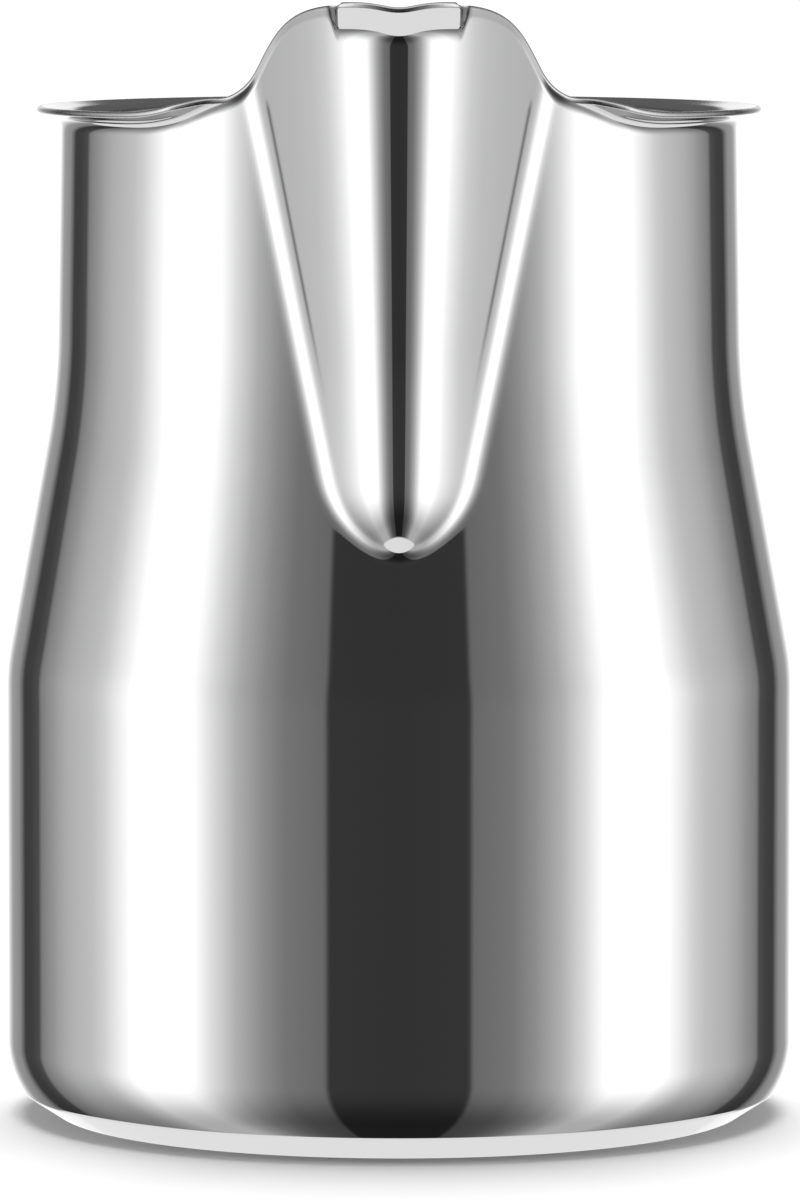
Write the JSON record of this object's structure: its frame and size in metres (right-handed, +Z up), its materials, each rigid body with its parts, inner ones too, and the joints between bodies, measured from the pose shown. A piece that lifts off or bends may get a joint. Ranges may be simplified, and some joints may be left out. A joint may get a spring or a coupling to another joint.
{
  "type": "melting and pouring pot",
  "caption": "Polished steel pot with a round belly, narrower neck, rolled rim, tall V-shaped pouring spout and a strap handle welded on behind.",
  "frame": {"origin": "centre of the round base, on the plane that the pot stands on", "axes": "+Z up along the belly's axis, -Y towards the spout, +Y towards the handle, +X to the right when the spout is seen from the front"},
  "size_m": [0.104, 0.1485, 0.1483],
  "materials": {
    "polished_steel": "mirror polished outside, satin inside",
    "handle_steel": "polished along its length",
    "weld_steel": "dressed weld, slightly dull"
  },
  "bodies": {
    "root": {"pot_body": "polished_steel", "handle": "handle_steel", "upper_welds": "weld_steel", "lower_welds": "weld_steel"}
  },
  "joints": []
}
